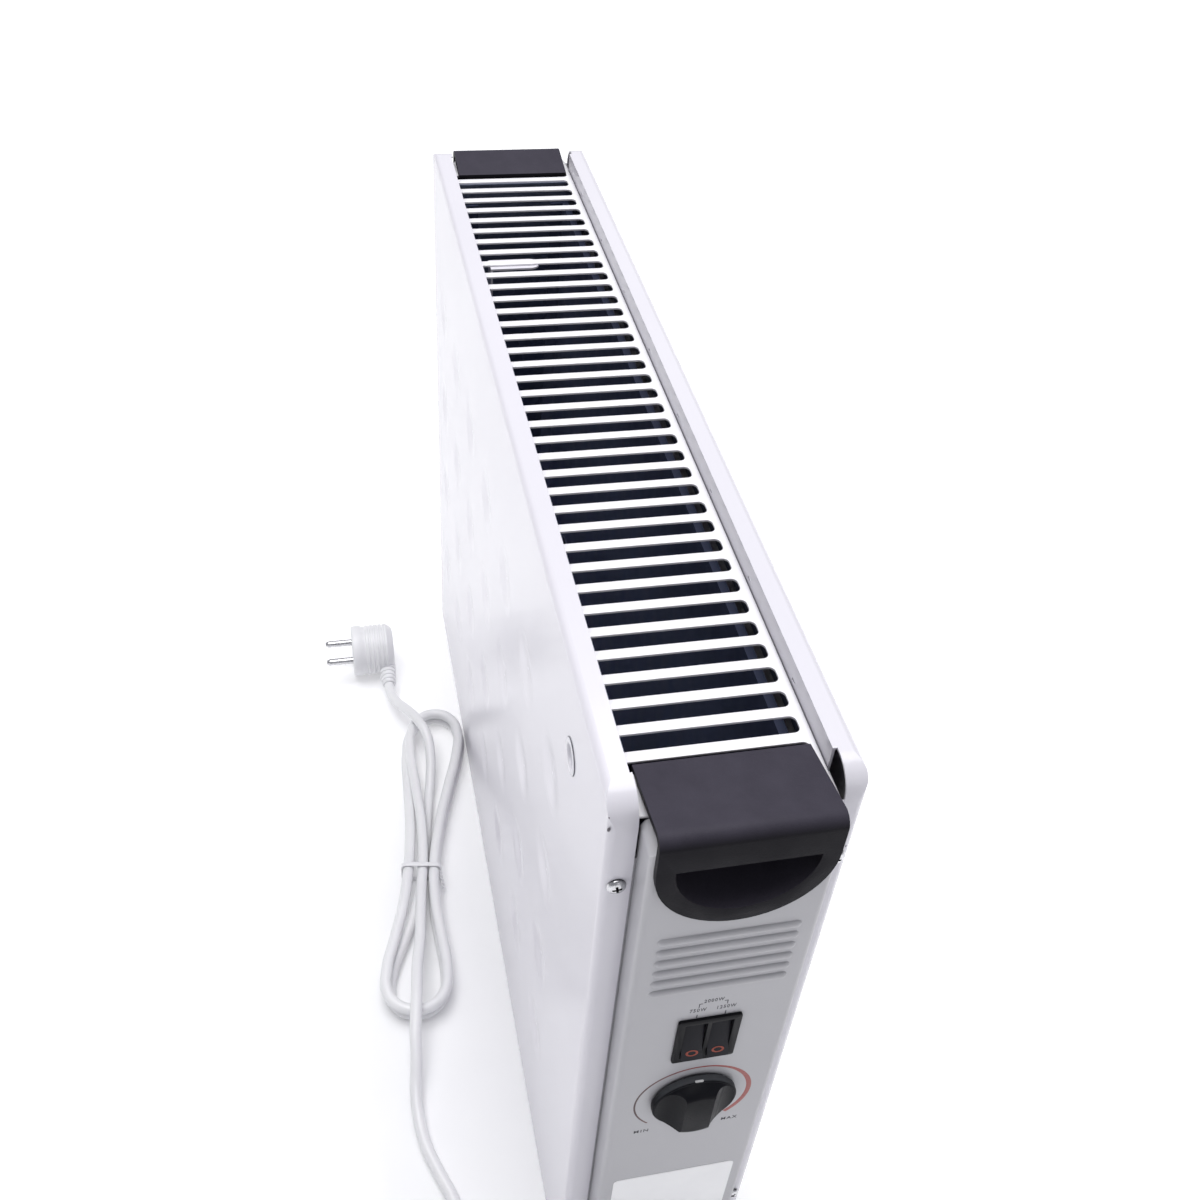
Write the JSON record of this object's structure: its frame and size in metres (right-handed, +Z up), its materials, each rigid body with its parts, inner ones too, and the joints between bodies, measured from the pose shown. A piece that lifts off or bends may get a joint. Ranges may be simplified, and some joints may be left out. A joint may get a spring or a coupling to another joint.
{
  "type": "convector heater",
  "caption": "Slim floor-standing convector heater: pressed steel casing, slotted top grille, recessed end handles, rocker switches, thermostat knob and supply cord with plug.",
  "frame": {"origin": "middle of the underside, on the floor under the casing's centre", "axes": "+X along the casing towards the end with the controls, +Y from front to back, +Z up"},
  "size_m": [0.6026, 0.1824, 0.379],
  "materials": {
    "white_enamel": "glossy powder coat",
    "grille_enamel": "glossy powder coat",
    "cover_enamel": "satin powder coat",
    "black_moulding": "fine moulded texture",
    "black_gloss": "smooth moulded",
    "knob_moulding": "satin moulded",
    "white_moulding": "smooth moulded",
    "galvanised_sheet": "galvanised",
    "reflector_sheet": "bright rolled",
    "element_steel": "heat darkened",
    "ceramic": "unglazed",
    "bakelite": "moulded",
    "beige_moulding": "moulded",
    "brass": "stamped",
    "bright_steel": "nickel plated",
    "wire_sleeve": "silicone",
    "cord_sleeve": "smooth vinyl"
  },
  "bodies": {
    "casing": {"front_panel": "white_enamel", "back_panel": "white_enamel", "top_grille": "grille_enamel", "base_pan": "white_enamel", "control_end_cover": "cover_enamel", "far_end_cover": "cover_enamel", "control_end_handle": "black_moulding", "far_end_handle": "black_moulding", "end_screws": "bright_steel", "control_partition": "galvanised_sheet", "far_partition": "galvanised_sheet", "front_heat_shield": "reflector_sheet", "back_heat_shield": "reflector_sheet", "grille_brace": "white_enamel", "element_hanger": "galvanised_sheet", "heating_element_750": "element_steel", "heating_element_1250": "element_steel", "element_bushes": "ceramic", "thermal_cutout": "brass", "tilt_switch": "bakelite", "thermostat_body": "beige_moulding", "switch_housing": "black_gloss", "switch_tabs": "brass", "terminal_block": "beige_moulding", "wiring": "wire_sleeve", "cord_gland": "white_moulding", "cord_lead": "cord_sleeve", "cord_hank": "cord_sleeve", "cord_tail": "cord_sleeve", "hank_tie": "white_moulding", "plug_body": "white_moulding", "plug_pins": "bright_steel", "hole_plug": "white_moulding"},
    "knob": {"thermostat_knob": "knob_moulding", "thermostat_spindle": "bright_steel"},
    "rocker_left": {"rocker_750": "black_gloss"},
    "rocker_right": {"rocker_1250": "black_gloss"}
  },
  "joints": [
    {"name": "thermostat_turn", "type": "hinge", "parent": "casing", "child": "knob", "pos_m": [0.2659, 0, 0.1988], "axis": [1, 0, 0], "range_deg": [-135, 135]},
    {"name": "switch_750", "type": "hinge", "parent": "casing", "child": "rocker_left", "pos_m": [0.2645, -0.0053, 0.2455], "axis": [0, 1, 0], "range_deg": [0, 18]},
    {"name": "switch_1250", "type": "hinge", "parent": "casing", "child": "rocker_right", "pos_m": [0.2645, 0.0053, 0.2455], "axis": [0, 1, 0], "range_deg": [0, 18]}
  ]
}
